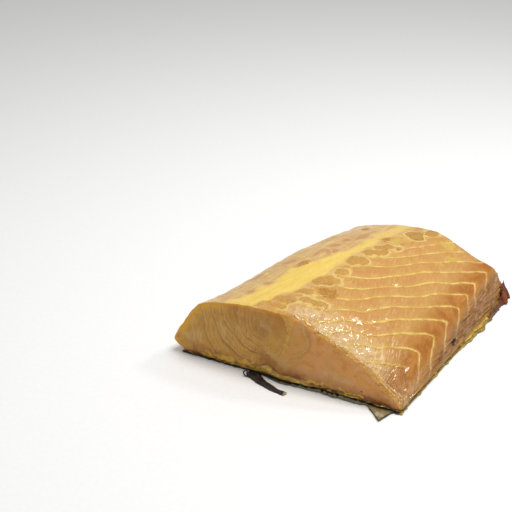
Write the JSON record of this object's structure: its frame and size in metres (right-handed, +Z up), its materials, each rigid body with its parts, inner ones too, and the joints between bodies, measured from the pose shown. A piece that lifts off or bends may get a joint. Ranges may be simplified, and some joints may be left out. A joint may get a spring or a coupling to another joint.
{
  "type": "smoked sturgeon fillet",
  "caption": "Thick middle cut of smoked fish fillet lying on its dark skin, with a domed back side, a long slope of chevron muscle bands to the belly edge and a torn strip of skin in front",
  "frame": {"origin": "centre of the part's bounding box, on the surface it lies on", "axes": "+X along the front cut from the back of the fish to its belly, +Y along the fish away from the front cut, +Z up"},
  "size_m": [0.1958, 0.1738, 0.051],
  "materials": {
    "smoked_flesh": "moist and oily, golden amber with yellow septa",
    "yellow_fat": "waxy, satin",
    "dark_skin": "dark olive, rough with fine denticles",
    "torn_skin": "dark brown, dry and fibrous"
  },
  "bodies": {
    "root": {"flesh": "smoked_flesh", "fat_layer": "yellow_fat", "skin": "dark_skin", "skin_strip": "torn_skin"}
  },
  "joints": []
}
